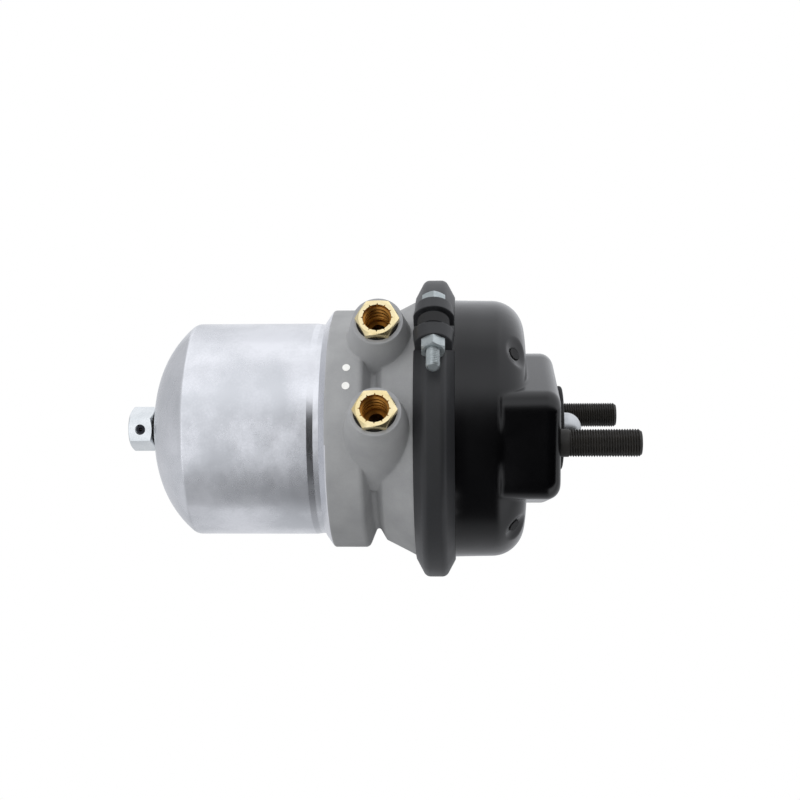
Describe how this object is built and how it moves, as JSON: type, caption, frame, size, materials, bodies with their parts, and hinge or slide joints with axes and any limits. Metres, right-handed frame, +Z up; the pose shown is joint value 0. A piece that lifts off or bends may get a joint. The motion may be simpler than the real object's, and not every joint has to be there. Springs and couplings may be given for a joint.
{
  "type": "air brake chamber",
  "caption": "Service diaphragm chamber with a spring parking brake behind it, for an air disc brake: rod, studs, clamp band, air ports and release hexagon.",
  "frame": {"origin": "centre of the mounting face, midway between the two studs", "axes": "+X out of the mounting face along the push rod, +Y through one stud, +Z up; the air ports look towards -Y and up"},
  "size_m": [0.3091, 0.1927, 0.1863],
  "materials": {
    "drawn_aluminium": "satin, drawn and turned",
    "cast_aluminium": "fine as-cast grain",
    "brass": "turned, bright",
    "black_paint": "semi-gloss black paint",
    "phosphated_steel": "dark phosphate",
    "zinc_steel": "bright zinc plate",
    "bright_steel": "machined bright",
    "spring_steel": "dark oiled spring wire",
    "black_rubber": "matt rubber",
    "polymer": "plain nylon",
    "white_paint": "paint dots"
  },
  "bodies": {
    "housing": {"spring_housing": "drawn_aluminium", "flange_housing": "cast_aluminium", "parking_port_connector": "brass", "service_port_connector": "brass", "connector_seal_rings": "black_rubber", "connector_claw_rings": "bright_steel", "can_seal_ring": "black_rubber", "can_retaining_wire": "bright_steel", "clamp_band_upper": "black_paint", "clamp_band_lower": "black_paint", "clamp_bolts": "zinc_steel", "clamp_nuts": "zinc_steel", "clamp_spacers": "black_paint", "service_housing": "black_paint", "drain_plugs": "black_rubber", "mounting_studs": "phosphated_steel", "rod_boot": "black_rubber", "boot_retaining_ring": "bright_steel", "diaphragm": "black_rubber", "guide_bush": "polymer", "tube_seals": "black_rubber", "thrust_washers": "bright_steel", "bearing_needles": "bright_steel", "release_dust_seal": "black_rubber", "power_spring": "spring_steel", "return_spring": "spring_steel", "paint_dots": "white_paint"},
    "rod": {"push_rod": "bright_steel", "push_plate": "bright_steel"},
    "piston": {"spring_piston": "cast_aluminium", "piston_lip_seal": "black_rubber", "piston_guide_ring": "polymer", "push_tube": "bright_steel", "tube_end_plug": "polymer", "nut_retainer": "bright_steel"},
    "release_bolt": {"release_screw": "bright_steel", "release_hex": "bright_steel", "hex_spring_pin": "spring_steel"},
    "release_nut_body": {"release_nut": "bright_steel"}
  },
  "joints": [
    {"name": "push_rod_slide", "type": "slide", "parent": "housing", "child": "rod", "axis": [1, 0, 0], "range_m": [0, 0.057], "stiffness_N_per_m": 2500, "springref_m": -0.05, "deforming": ["return_spring", "diaphragm"]},
    {"name": "spring_piston_slide", "type": "slide", "parent": "housing", "child": "piston", "axis": [1, 0, 0], "range_m": [0, 0.057], "deforming": ["power_spring"]},
    {"name": "release_bolt_turn", "type": "hinge", "parent": "housing", "child": "release_bolt", "pos_m": [-0.25, 0, 0], "axis": [-1, 0, 0], "range_deg": [0, 6840]},
    {"name": "release_nut_slide", "type": "slide", "parent": "piston", "child": "release_nut_body", "axis": [1, 0, 0], "range_m": [0, 0.057]}
  ],
  "couplings": [
    {"joint": "spring_piston_slide", "follows": "push_rod_slide", "ratio": 1},
    {"joint": "release_nut_slide", "follows": "release_bolt_turn", "m_per_rad": 0.00047746}
  ]
}
